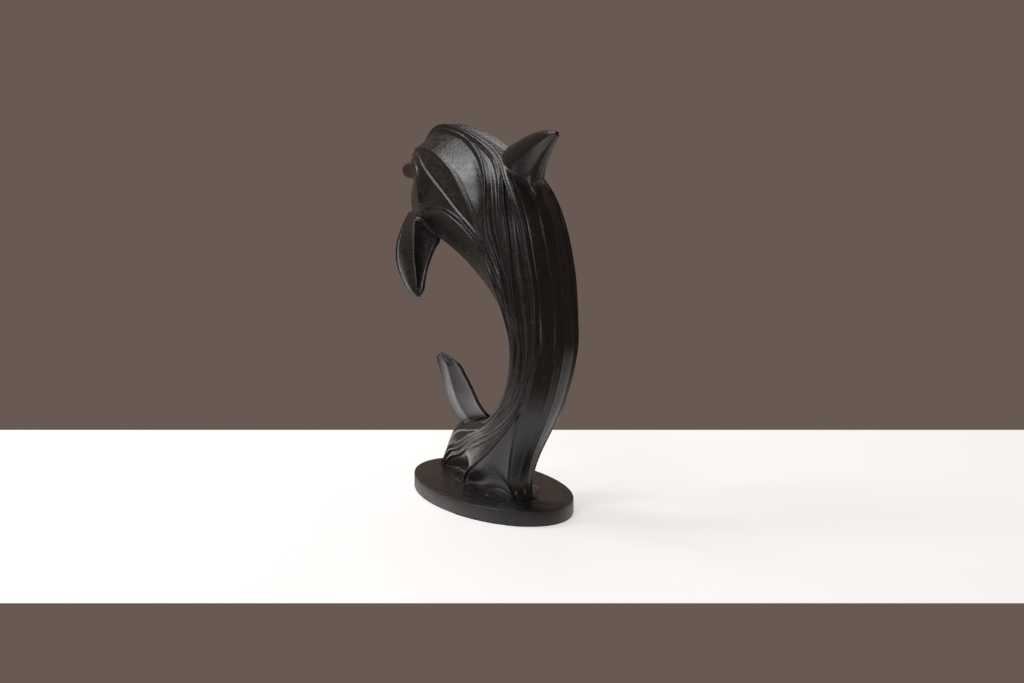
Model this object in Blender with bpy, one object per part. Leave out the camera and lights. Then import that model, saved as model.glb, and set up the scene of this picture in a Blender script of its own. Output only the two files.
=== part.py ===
"""Dolphin statue printed in one piece: a leaping dolphin on a long oval plinth.

Frame: origin at the centre of the plinth's underside, +X along the plinth towards
the head, +Y to the dolphin's left, +Z up. The shape tables below are millimetres
of a figure whose top stands FIGURE_DRAWN above the plinth's rim, and they scale
with FIGURE_HEIGHT. The model is built in metres.
"""
import math

import bpy
import numpy as np

MM = 0.001

# Sizes, in millimetres and degrees
PLINTH_LENGTH = 146.0
PLINTH_WIDTH = 59.0
PLINTH_RIM = 6.4
PLINTH_DOME = 1.1
PLINTH_EDGE = 0.5
FIGURE_HEIGHT = 154.0
FIGURE_TURN = 10.9

# The drawn figure, which the sizes above scale
FIGURE_DRAWN = 154.0
DRAWN_BASE = 6.4
TURN_FROM = 10.0
TURN_TO = 90.0
ROUNDNESS = 2.15
PLINTH_SIDES = 72

# Runs of rings along the outline's rows: the row each starts at, and how many it has
RING_RUNS = ((0.0, 7), (2.6, 15), (6.4, 29))
# Sagittal outline, tail to head: back x, back z, belly x, belly z, half width to the
# left and to the right
OUTLINE = (
    (50.0, 2.0, 53.0, 8.0, 4.5, 4.0),
    (40.0, 2.0, 44.0, 19.0, 8.5, 7.5),
    (20.0, 2.0, 28.0, 30.0, 11.0, 9.0),
    (-13.0, 2.0, 2.0, 34.0, 13.5, 9.5),
    (-40.0, 6.0, -19.0, 39.0, 14.0, 6.5),
    (-54.0, 25.0, -30.5, 46.0, 12.0, 8.2),
    (-65.0, 45.0, -36.0, 54.0, 11.0, 10.2),
    (-66.5, 68.0, -36.5, 68.0, 12.0, 11.8),
    (-62.0, 86.0, -28.5, 81.5, 14.0, 13.6),
    (-58.0, 104.0, -15.0, 91.8, 16.0, 15.2),
    (-51.0, 123.5, 2.5, 99.8, 18.0, 15.8),
    (-38.0, 137.5, 19.5, 105.5, 19.0, 16.4),
    (-14.0, 148.5, 36.0, 110.0, 19.0, 17.2),
    (16.0, 157.2, 50.0, 114.0, 18.0, 17.0),
    (43.0, 160.0, 61.0, 119.0, 14.0, 14.0),
    (58.5, 155.0, 68.5, 126.0, 9.0, 9.0),
    (68.5, 147.0, 71.0, 133.0, 4.6, 4.6),
)

# Ridges of the left flank, back to belly: (station, degrees from the back) and
# the height of the line above the smooth body
BACK_BAND = (((0, 5), (16, 5)), 0.3)
HEEL_RIDGE = (
    ((0, 8), (3.9, 8), (4.24, 14), (4.48, 25), (4.81, 33), (5.19, 41.5), (5.44, 47), (5.8, 51),
     (6.2, 51), (6.9, 43), (8.0, 36), (8.8, 33), (10.2, 34), (10.7, 31), (11.2, 26), (12.1, 14),
     (14.2, 3), (16, 8)),
    0.6,
)
FOOT_RIDGE = (
    ((0, 14), (2.9, 18), (3.04, 30), (3.12, 52), (3.22, 68), (3.42, 78), (3.75, 84), (4.1, 85),
     (4.69, 77.5), (5.2, 68.5), (5.69, 60), (6.2, 54), (6.9, 46), (8.0, 38), (10.2, 36), (11.2, 28),
     (12.1, 16), (14.2, 4), (16, 12)),
    0.6,
)
STRIP_RIDGE = (
    ((0, 72), (1.2, 80.5), (2.55, 93), (3.3, 106), (3.75, 110.5), (4.06, 109), (4.75, 94.5),
     (5.3, 79.5), (5.7, 69), (6.1, 59.5), (6.9, 49), (8.0, 42), (10.2, 39), (11.2, 31), (12.1, 18),
     (14.2, 5), (16, 16)),
    0.5,
)
FLANK_RIDGE = (
    ((0, 84), (0.8, 87), (2.48, 99), (3.3, 114), (3.75, 119), (4.0, 117.5), (4.83, 102),
     (5.49, 90.5), (5.85, 82), (6.2, 73), (6.5, 68.5), (7.7, 63), (8.8, 58), (9.5, 54), (10.1, 48),
     (11.1, 36), (12.1, 20), (14.2, 6), (16, 20)),
    0.7,
)
HOOD_GROOVE = (
    ((0, 86), (1.2, 92), (2.6, 105), (3.3, 119), (3.75, 122.5), (4.0, 121), (4.83, 106), (5.5, 95),
     (6.8, 75), (7.9, 72), (9.0, 66), (10.2, 56), (10.6, 50), (11.2, 40), (12.2, 24), (14.2, 7),
     (16, 24)),
    -0.7,
)
HOOD_RIDGE = (
    ((0, 90), (1.2, 97), (2.65, 111.5), (3.3, 125), (3.75, 127), (4.0, 125.5), (4.8, 112),
     (5.5, 101), (7.2, 84), (7.9, 80), (9.1, 77), (10.0, 74), (10.6, 64), (11.5, 44), (12.1, 32),
     (13.0, 20), (14.2, 8), (16, 28)),
    0.8,
)
CHEEK_RIDGE = (
    ((0, 98), (1.6, 118), (2.8, 136), (4.0, 130), (5.5, 106), (7.2, 88), (9.0, 81), (10.2, 80),
     (11.0, 75), (11.8, 66), (12.5, 59), (13.2, 56), (14.0, 60), (16, 62)),
    0.6,
)
JAW_RIDGE = (
    ((0, 104), (1.6, 124), (2.8, 141), (4.0, 135), (5.5, 112), (7.2, 93), (9.0, 85), (10.0, 85),
     (11.1, 87), (12.1, 83), (13.1, 76), (14.0, 68), (16, 72)),
    0.6,
)
THROAT_RIDGE = (
    ((0, 110), (1.6, 130), (2.8, 146), (4.0, 140), (5.5, 118), (7.2, 97), (9.0, 88), (10.0, 88),
     (11.4, 92), (12.3, 104), (12.7, 112), (12.9, 100), (13.2, 90), (13.6, 80), (14.4, 76), (16, 82)),
    0.4,
)
SHOULDER_RIDGE = (
    ((0, 118), (1.6, 137), (2.8, 151), (4.0, 146), (5.5, 126), (7.2, 103), (9.0, 92), (10.0, 91),
     (11.1, 94), (11.9, 99), (12.2, 106), (12.7, 119), (13.4, 134), (14.4, 138), (16, 130)),
    0.5,
)
BELLY_RIDGE = (((0, 140), (2.8, 160), (5.5, 148), (9.0, 136), (12.0, 146), (13.4, 157), (16, 155)), 0.3)
RIDGES = (
    BACK_BAND,
    HEEL_RIDGE,
    FOOT_RIDGE,
    STRIP_RIDGE,
    FLANK_RIDGE,
    HOOD_GROOVE,
    HOOD_RIDGE,
    CHEEK_RIDGE,
    JAW_RIDGE,
    THROAT_RIDGE,
    SHOULDER_RIDGE,
    BELLY_RIDGE,
)
# Face between each line and the one before it: how far it is flattened from the round of the
# body to the straight line between its ridges, its hollow as a share of its width, how far the
# hollow leans to its back edge (1 is even), and the steps across it
FACES = (
    (0.0, 0.00, 1.0, 1),
    (0.35, 0.03, 0.8, 3),
    (0.8, 0.12, 0.6, 2),
    (0.8, 0.12, 0.5, 2),
    (1.0, 0.12, 0.5, 2),
    (0.0, 0.02, 1.0, 1),
    (0.0, 0.02, 1.0, 1),
    (0.9, 0.15, 0.45, 3),
    (0.9, 0.16, 0.45, 3),
    (0.9, 0.15, 0.45, 2),
    (1.0, 0.13, 0.45, 2),
    (0.6, 0.08, 0.5, 2),
    (0.0, 0.03, 1.0, 2),
)
STEP_LEAN = 1.5
CLOSEST_LINES = 1.6

# Fins: front edge, crest and rear edge of each rib, root to tip
FLIPPER = (
    ((56, 1, 125), (39, 3, 121), (31, -1, 115)),
    ((59, 9.5, 123), (39, 13, 122.8), (31, 5.5, 112.5)),
    ((56.8, 13.5, 119.8), (41, 16.5, 120.9), (30, 9, 111)),
    ((52.9, 18.5, 113.5), (39.3, 18.5, 116.9), (28.5, 12.3, 108.5)),
    ((48.3, 22.6, 107.6), (34.5, 20.8, 110.6), (27.5, 15, 104.7)),
    ((42.5, 25.3, 101), (29.2, 22.9, 102.6), (25.2, 18.3, 99.3)),
    ((35, 26.7, 94.9), (24, 24.6, 96.4), (21.8, 21, 95.2)),
    ((26.5, 27.1, 89.6), (19.7, 26, 91), (17.4, 24, 90.2)),
    ((19.5, 26.3, 86.6), (18.6, 26.1, 86.9), (17.6, 25.6, 87.0)),
)
FLUKE = (
    ((8, 1, 24), (0, 2, 27), (-14, 0, 31)),
    ((10.6, 4.5, 29.4), (5, 5.8, 32), (-14.3, 4, 36.4)),
    ((16.6, 8.5, 31.9), (4.5, 9.8, 35.3), (-13.2, 7, 38.8)),
    ((18.8, 11.5, 36.8), (6, 13, 41.4), (-10.5, 9.5, 43)),
    ((18.4, 14, 43.4), (4.6, 15.5, 47.2), (-7, 11.5, 49)),
    ((16.9, 15.5, 49.3), (5, 17, 53.3), (-4.5, 13.5, 54)),
    ((14.6, 17.5, 55.4), (6, 18.3, 58.5), (-0.5, 15.8, 59.3)),
    ((15.2, 19, 61.0), (12.5, 19.1, 62.3), (11, 18.8, 62.9)),
)
FIN_EDGE = 0.5
FIN_BACK = 2.2
# Dorsal fin: front x, front z, rear x, rear z, half thickness of each rib
DORSAL = (
    (-18.0, 137.0, -56.5, 107.0, 10.0),
    (-13.5, 146.0, -52.6, 120.5, 8.5),
    (-15.5, 151.0, -51.0, 130.5, 6.6),
    (-25.0, 154.2, -50.1, 137.0, 4.9),
    (-35.0, 157.0, -51.4, 143.0, 3.4),
    (-45.0, 158.8, -54.4, 148.0, 2.4),
    (-54.6, 159.3, -58.8, 152.4, 1.8),
    (-60.5, 158.9, -62.4, 157.0, 1.2),
)
DORSAL_SHAPE = ((0.0, 0.1), (0.07, 0.45), (0.22, 0.8), (0.45, 1.0), (0.7, 0.9), (0.9, 0.6))
DORSAL_STRIP = 1.5
# Beak: centre x, centre z, half height, half width
BEAK = (
    (57.0, 141.0, 10.0, 8.0),
    (66.0, 140.2, 6.8, 6.2),
    (73.0, 139.8, 4.8, 4.6),
    (79.5, 139.7, 3.9, 3.8),
    (84.6, 139.6, 3.3, 3.1),
    (87.6, 139.6, 1.6, 1.5),
)
# How far the foot spreads at the plinth, along the drawn x, on the left and on the right
FLARE_LEFT = ((-60, 12), (-38, 11), (-20, 7), (-5, 4), (15, 3), (35, 2.7), (55, 4))
FLARE_RIGHT = ((-60, 14), (-38, 13), (-20, 9), (-5, 5), (15, 3.5), (35, 2.7), (55, 4))
FLARE_LEVEL = 7.4
FLARE_FADE = 5.0
FLARE_HEEL = -30.0
FLARE_TOE = 45.0


def rising(points, at):
    """Monotone cubic through (place, value) points."""
    x = np.array([p[0] for p in points], float)
    y = np.array([p[1] for p in points], float)
    step = np.diff(x)
    slope = np.diff(y) / step
    rate = np.zeros(len(x))
    rate[0] = slope[0]
    rate[-1] = slope[-1]
    for k in range(1, len(x) - 1):
        if slope[k - 1] * slope[k] > 0:
            ahead = 2 * step[k] + step[k - 1]
            behind = step[k] + 2 * step[k - 1]
            rate[k] = (ahead + behind) / (ahead / slope[k - 1] + behind / slope[k])
    i = np.clip(np.searchsorted(x, at, side="right") - 1, 0, len(x) - 2)
    t = np.clip((at - x[i]) / step[i], 0, 1)
    return (
        (2 * t**3 - 3 * t**2 + 1) * y[i]
        + (t**3 - 2 * t**2 + t) * step[i] * rate[i]
        + (3 * t**2 - 2 * t**3) * y[i + 1]
        + (t**3 - t**2) * step[i] * rate[i + 1]
    )


def flowing(rows, at):
    """Smooth curve through equally spaced rows of numbers."""
    rows = np.array(rows, float)
    flat = rows.reshape(len(rows), -1)
    flat = np.vstack([2 * flat[0] - flat[1], flat, 2 * flat[-1] - flat[-2]])
    i = np.clip(np.floor(at).astype(int), 0, len(rows) - 2)
    t = (at - i)[:, None]
    a, b, c, d = flat[i], flat[i + 1], flat[i + 2], flat[i + 3]
    out = 0.5 * (2 * b + (c - a) * t + (2 * a - 5 * b + 4 * c - d) * t**2)
    out += 0.5 * (3 * b - a - 3 * c + d) * t**3
    return out.reshape((len(at),) + rows.shape[1:])


def placed(points):
    """Drawn points as metres in the object's frame: scaled, raised and turned."""
    points = np.array(points, float)
    angle = np.clip((points[:, 2] - TURN_FROM) / (TURN_TO - TURN_FROM), 0, 1)
    angle = math.radians(FIGURE_TURN) * angle**2 * (3 - 2 * angle)
    x = np.cos(angle) * points[:, 0] - np.sin(angle) * points[:, 1]
    y = np.sin(angle) * points[:, 0] + np.cos(angle) * points[:, 1]
    scale = FIGURE_HEIGHT / FIGURE_DRAWN
    z = PLINTH_RIM + (points[:, 2] - DRAWN_BASE) * scale
    return np.stack([x * scale, y * scale, z], 1) * MM


def mesh_object(name, points, faces, collection):
    """A closed, smooth-shaded mesh object whose faces point outwards."""
    mesh = bpy.data.meshes.new(name)
    mesh.from_pydata([tuple(map(float, p)) for p in points], [], faces)
    mesh.validate()
    volume = 0.0
    for polygon in mesh.polygons:
        ring = [np.array(mesh.vertices[v].co) for v in polygon.vertices]
        for k in range(1, len(ring) - 1):
            volume += np.dot(ring[0], np.cross(ring[k], ring[k + 1]))
    if volume < 0:
        mesh.flip_normals()
    for polygon in mesh.polygons:
        polygon.use_smooth = True
    obj = bpy.data.objects.new(name, mesh)
    collection.objects.link(obj)
    return obj


def loft(rings):
    """Points and faces of a closed skin over rings of equal length, ends capped."""
    count = len(rings[0])
    points = np.vstack(rings + [rings[0].mean(0)[None], rings[-1].mean(0)[None]])
    first, last = len(points) - 2, len(points) - 1
    faces = []
    for r in range(len(rings) - 1):
        for k in range(count):
            n = (k + 1) % count
            a, b = r * count + k, r * count + n
            faces.append((a, b, b + count, a + count))
    top = (len(rings) - 1) * count
    for k in range(count):
        n = (k + 1) % count
        faces.append((first, n, k))
        faces.append((last, top + k, top + n))
    return points, faces


def ridge_angles(at):
    """Degrees of every line at each station, kept in order and apart."""
    rows = [np.zeros(len(at))]
    for table, _ in RIDGES:
        rows.append(np.maximum(rising(table, at), rows[-1] + CLOSEST_LINES))
    rows.append(np.full(len(at), 180.0))
    return np.array(rows).T


def section_point(row, degrees):
    """Point of the smooth section at an angle from the back."""
    back_x, back_z, belly_x, belly_z, left, right = row
    c, s = math.cos(math.radians(degrees)), math.sin(math.radians(degrees))
    half = left if s >= 0 else right
    c = math.copysign(abs(c) ** (2 / ROUNDNESS), c)
    s = math.copysign(abs(s) ** (2 / ROUNDNESS), s)
    x = (back_x + belly_x) / 2 + (back_x - belly_x) / 2 * c
    z = (back_z + belly_z) / 2 + (back_z - belly_z) / 2 * c
    return np.array([x, half * s, z])


def body_ring(row, angles):
    """One ring of the body: left side from back to belly, then the right side back."""
    centre = (section_point(row, 0) + section_point(row, 180)) / 2
    heights = [RIDGES[0][1]] + [ridge[1] for ridge in RIDGES] + [0.0]
    sides = []
    for side, half in ((1, row[4]), (-1, row[5])):
        size = min(1.0, half / 12.0)
        points = []
        for k, (flat, share, lean, steps) in enumerate(FACES):
            start = section_point(row, side * angles[k])
            end = section_point(row, side * angles[k + 1])
            depth = share * np.linalg.norm(end - start)
            for step in range(steps):
                t = (step / steps) ** STEP_LEAN
                place = angles[k] + (angles[k + 1] - angles[k]) * t
                point = section_point(row, side * place) * (1 - flat)
                point += (start + (end - start) * t) * flat
                hollow = t**lean
                rise = (heights[k] * (1 - t) + heights[k + 1] * t) * size
                rise -= depth * 4 * hollow * (1 - hollow)
                away = point - centre
                points.append(point + away / np.linalg.norm(away) * rise)
        points.append(section_point(row, 180))
        sides.append(points)
    return np.array(sides[0] + sides[1][-2:0:-1])


def flared(points):
    """The ring's points, spread out where the foot meets the plinth."""
    x, y, z = points.T
    out = np.stack([x - np.clip(x, FLARE_HEEL, FLARE_TOE), y], 1)
    out /= np.maximum(np.linalg.norm(out, axis=1), 1e-6)[:, None]
    amount = np.where(y >= 0, rising(FLARE_LEFT, x), rising(FLARE_RIGHT, x))
    amount *= np.exp(-np.maximum(z - FLARE_LEVEL, 0) / FLARE_FADE)
    moved = points.copy()
    moved[:, :2] += out * amount[:, None]
    return moved


def body():
    last = len(OUTLINE) - 1
    ends = [start for start, _ in RING_RUNS[1:]] + [last]
    at = [np.linspace(run[0], end, run[1], endpoint=False) for run, end in zip(RING_RUNS, ends)]
    at = np.append(np.concatenate(at), last)
    rows = flowing(OUTLINE, at)
    angles = ridge_angles(at)
    rings = [placed(flared(body_ring(row, angle))) for row, angle in zip(rows, angles)]
    return loft(rings)


def blade_ring(front, crest, rear, lift):
    """A blade's rib: outer face with a crest, edges of even thickness, swollen inner face."""
    chord = rear - front
    normal = np.cross(chord, lift)
    normal /= np.linalg.norm(normal)
    if np.dot(normal, crest - (front + rear) / 2) < 0:
        normal = -normal
    wide = min(1.0, np.linalg.norm(chord) / 8.0)
    edge = normal * FIN_EDGE * wide
    ring = [front + edge]
    for t, sink in ((0.3, 0.5), (0.5, 0.1), (0.75, 0.6)):
        ring.append(front * (1 - t) + crest * t - normal * sink * wide)
    ring.append(crest)
    for t, sink in ((0.35, 0.6), (0.6, 0.2), (0.8, 0.4)):
        ring.append(crest * (1 - t) + rear * t - normal * sink * wide)
    ring.append(rear + edge)
    ring.append(rear - edge)
    for t in (0.75, 0.5, 0.25):
        swell = FIN_BACK * wide * 4 * t * (1 - t)
        ring.append(front + chord * t - normal * swell)
    ring.append(front - edge)
    return np.array(ring)


def blade(ribs, steps, side):
    """A flipper or a fluke through its ribs. side is 1 for the left one, -1 for the right."""
    at = np.linspace(0, len(ribs) - 1, (len(ribs) - 1) * steps + 1)
    rows = flowing(ribs, at)
    middle = rows.mean(1)
    lifts = np.gradient(middle, axis=0)
    rings = []
    for row, lift in zip(rows, lifts):
        ring = blade_ring(row[0], row[1], row[2], lift)
        rings.append(placed(ring * np.array([1, side, 1])))
    return loft(rings)


def dorsal_fin(steps):
    at = np.linspace(0, len(DORSAL) - 1, (len(DORSAL) - 1) * steps + 1)
    rings = []
    for front_x, front_z, rear_x, rear_z, half in flowing(DORSAL, at):
        left = []
        for t, share in DORSAL_SHAPE:
            wide = max(half * share, min(DORSAL_STRIP, half) * 0.6)
            left.append((front_x + (rear_x - front_x) * t, wide, front_z + (rear_z - front_z) * t))
        left.append((rear_x, min(DORSAL_STRIP, half), rear_z))
        right = [(x, -y, z) for x, y, z in reversed(left)]
        rings.append(placed(left + right))
    return loft(rings)


def beak(sides, steps):
    at = np.linspace(0, len(BEAK) - 1, (len(BEAK) - 1) * steps + 1)
    rings = []
    for x, z, high, wide in flowing(BEAK, at):
        turn = np.linspace(0, 2 * math.pi, sides, endpoint=False)
        ring = np.stack([np.full(sides, x), wide * np.cos(turn), z + high * np.sin(turn)], 1)
        rings.append(placed(ring))
    return loft(rings)


def plinth():
    turn = np.linspace(0, 2 * math.pi, PLINTH_SIDES, endpoint=False)
    rings = []
    for inset, z in (
        (PLINTH_EDGE, 0.0),
        (0.0, PLINTH_EDGE),
        (0.0, PLINTH_RIM - PLINTH_EDGE),
        (PLINTH_EDGE, PLINTH_RIM),
    ):
        x = (PLINTH_LENGTH / 2 - inset) * np.cos(turn)
        y = (PLINTH_WIDTH / 2 - inset) * np.sin(turn)
        rings.append(np.stack([x, y, np.full(PLINTH_SIDES, z)], 1) * MM)
    for share in (0.8, 0.55, 0.25):
        x = (PLINTH_LENGTH / 2 - PLINTH_EDGE) * share * np.cos(turn)
        y = (PLINTH_WIDTH / 2 - PLINTH_EDGE) * share * np.sin(turn)
        z = PLINTH_RIM + PLINTH_DOME * (1 - share**2)
        rings.append(np.stack([x, y, np.full(PLINTH_SIDES, z)], 1) * MM)
    return loft(rings)


def black_plastic():
    material = bpy.data.materials.new("black_plastic")
    material.use_nodes = True
    shader = material.node_tree.nodes["Principled BSDF"]
    shader.inputs["Base Color"].default_value = (0.012, 0.012, 0.013, 1.0)
    shader.inputs["Roughness"].default_value = 0.42
    return material


def build():
    for obj in list(bpy.data.objects):
        bpy.data.objects.remove(obj)
    shown = bpy.data.collections.new("dolphin_statue")
    tools = bpy.data.collections.new("joined_shapes")
    tools.hide_render = True
    bpy.context.scene.collection.children.link(shown)
    bpy.context.scene.collection.children.link(tools)

    statue = mesh_object("dolphin_statue", *body(), shown)
    statue.data.materials.append(black_plastic())
    for name, shape in (
        ("plinth", plinth()),
        ("beak", beak(16, 2)),
        ("dorsal_fin", dorsal_fin(2)),
        ("left_flipper", blade(FLIPPER, 2, 1)),
        ("right_flipper", blade(FLIPPER, 2, -1)),
        ("left_fluke", blade(FLUKE, 2, 1)),
        ("right_fluke", blade(FLUKE, 2, -1)),
    ):
        tool = mesh_object(name, *shape, tools)
        tool.hide_render = True
        tool.display_type = "WIRE"
        join = statue.modifiers.new("join_" + name, "BOOLEAN")
        join.operation = "UNION"
        join.solver = "EXACT"
        join.object = tool


build()
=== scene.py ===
"""Looks of a dolphin statue that was printed in one piece in black plastic.

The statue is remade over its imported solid, with narrower cords and creases, softened
joints, a terraced plinth, beads along the layers' seam and the plastic's fine layers. The
figure's tables are millimetres of a drawing whose foot stands on the plinth's rim, and
Figure.place takes them to metres in the part's frame.
"""

import logging
import math
from dataclasses import dataclass, field
from enum import Enum
from typing import Any

import bpy
import numpy as np
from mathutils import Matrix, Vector
from mathutils.kdtree import KDTree


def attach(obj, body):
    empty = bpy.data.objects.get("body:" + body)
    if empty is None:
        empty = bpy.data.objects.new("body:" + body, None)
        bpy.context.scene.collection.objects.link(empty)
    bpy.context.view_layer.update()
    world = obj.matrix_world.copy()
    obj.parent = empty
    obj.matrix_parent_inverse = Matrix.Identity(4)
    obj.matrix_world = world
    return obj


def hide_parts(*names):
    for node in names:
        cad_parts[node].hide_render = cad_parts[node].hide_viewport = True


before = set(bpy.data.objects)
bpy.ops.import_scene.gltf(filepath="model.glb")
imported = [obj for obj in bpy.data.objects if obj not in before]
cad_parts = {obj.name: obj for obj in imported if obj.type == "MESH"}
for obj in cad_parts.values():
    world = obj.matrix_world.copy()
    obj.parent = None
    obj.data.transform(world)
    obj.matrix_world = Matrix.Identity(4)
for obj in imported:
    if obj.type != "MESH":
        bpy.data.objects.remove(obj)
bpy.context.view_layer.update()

MM = 0.001
LOG = logging.getLogger("dolphin_statue")
# The least length that a vector is divided by
TINY = 1e-9
Points = np.ndarray
Path = tuple[tuple[float, float], ...]
Ribs = tuple[tuple[tuple[float, float, float], ...], ...]


def rising(path: Path, at: Points) -> Points:
    """Monotone cubic through (place, value) points.

    Args:
        path: The points, in rising order of place.
        at: The places to read.

    Returns:
        A value for each place.
    """
    x = np.array([p[0] for p in path], float)
    y = np.array([p[1] for p in path], float)
    step = np.diff(x)
    slope = np.diff(y) / step
    rate = np.zeros(len(x))
    rate[0] = slope[0]
    rate[-1] = slope[-1]
    for k in range(1, len(x) - 1):
        if slope[k - 1] * slope[k] > 0:
            ahead = 2 * step[k] + step[k - 1]
            behind = step[k] + 2 * step[k - 1]
            rate[k] = (ahead + behind) / (ahead / slope[k - 1] + behind / slope[k])
    i = np.clip(np.searchsorted(x, at, side="right") - 1, 0, len(x) - 2)
    t = np.clip((at - x[i]) / step[i], 0, 1)
    return (
        (2 * t**3 - 3 * t**2 + 1) * y[i]
        + (t**3 - 2 * t**2 + t) * step[i] * rate[i]
        + (3 * t**2 - 2 * t**3) * y[i + 1]
        + (t**3 - t**2) * step[i] * rate[i + 1]
    )


def flowing(rows: Any, at: Points) -> Points:
    """Smooth curve through equally spaced rows of numbers.

    Args:
        rows: The rows, which may each be an array of any shape.
        at: Places along the rows, in rows from the first.

    Returns:
        One row for each place.
    """
    rows = np.array(rows, float)
    flat = rows.reshape(len(rows), -1)
    flat = np.vstack([2 * flat[0] - flat[1], flat, 2 * flat[-1] - flat[-2]])
    i = np.clip(np.floor(at).astype(int), 0, len(rows) - 2)
    t = (at - i)[:, None]
    a, b, c, d = flat[i], flat[i + 1], flat[i + 2], flat[i + 3]
    out = 0.5 * (2 * b + (c - a) * t + (2 * a - 5 * b + 4 * c - d) * t**2)
    out += 0.5 * (3 * b - a - 3 * c + d) * t**3
    return out.reshape((len(at),) + rows.shape[1:])


def unit(vectors: Points) -> Points:
    """The vectors at length one."""
    return vectors / np.maximum(np.linalg.norm(vectors, axis=-1, keepdims=True), TINY)


def bell(distance: Points, width: float) -> Points:
    """A smooth bump of height one that fades over the width."""
    return np.exp(-((distance / width) ** 2))


def cord(distance: Points, width: float) -> Points:
    """A bump of height one with a flat top and steep sides."""
    return np.exp(-((distance / width) ** 4))


@dataclass(frozen=True)
class Figure:
    """Scale and turn of the figure on its plinth, in millimetres and degrees."""

    # Heights of the plinth's rim and of the figure above it, then the figure's and rim's as drawn
    rim: float = 6.4
    height: float = 154.0
    drawn: float = 154.0
    drawn_base: float = 6.4
    # Its turn about the plinth's middle, and the drawn heights between which that comes on
    turn: float = 10.9
    turn_from: float = 10.0
    turn_to: float = 90.0

    def place(self, points: Points) -> Points:
        """Drawn points as metres in the part's frame.

        Args:
            points: Millimetres, in an array whose last axis is x, y, z.

        Returns:
            The points scaled, raised and turned, in the same order.
        """
        share = np.clip((points[..., 2] - self.turn_from) / (self.turn_to - self.turn_from), 0, 1)
        angle = math.radians(self.turn) * share**2 * (3 - 2 * share)
        x = np.cos(angle) * points[..., 0] - np.sin(angle) * points[..., 1]
        y = np.sin(angle) * points[..., 0] + np.cos(angle) * points[..., 1]
        scale = self.height / self.drawn
        z = self.rim + (points[..., 2] - self.drawn_base) * scale
        return np.stack([x * scale, y * scale, z], -1) * MM


@dataclass
class Shell:
    """A closed skin over rings of points, in metres."""

    rings: Points

    def object(self, name: str) -> bpy.types.Object:
        """A mesh object with its ends capped and its faces turned outwards.

        Args:
            name: Name of the object.

        Returns:
            The object, linked to the scene.
        """
        count, around = self.rings.shape[:2]
        points = np.vstack([self.rings.reshape(-1, 3), self.rings[0].mean(0), self.rings[-1].mean(0)])
        k = np.arange(around)
        n = (k + 1) % around
        base = (np.arange(count - 1) * around)[:, None]
        quads = np.stack([base + k, base + n, base + n + around, base + k + around], -1).reshape(-1, 4)
        top = (count - 1) * around
        first = np.stack([np.full(around, count * around), n, k], -1)
        last = np.stack([np.full(around, count * around + 1), top + k, top + n], -1)
        mesh = bpy.data.meshes.new(name)
        mesh.from_pydata(points.tolist(), [], quads.tolist() + first.tolist() + last.tolist())
        mesh.validate()
        faces = np.concatenate([quads[:, [0, 1, 2]], quads[:, [0, 2, 3]], first, last])
        if np.linalg.det(points[faces]).sum() < 0:
            mesh.flip_normals()
        mesh.polygons.foreach_set("use_smooth", [True] * len(mesh.polygons))
        obj = bpy.data.objects.new(name, mesh)
        bpy.context.scene.collection.objects.link(obj)
        return obj


@dataclass(frozen=True)
class Ridge:
    """A line along a flank: station and degrees from the back, its height, and its cord's."""

    path: Path
    height: float
    bead: float = 0.4


@dataclass(frozen=True)
class Facet:
    """The face before a ridge: how flat and how hollow it is, and the steps across it.

    flat is 0 on the round of the body and 1 on the straight line between its ridges.
    hollow is a share of its width, and lean moves the hollow towards its back edge.
    """

    flat: float
    hollow: float
    steps: int
    lean: float = 0.5


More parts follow.
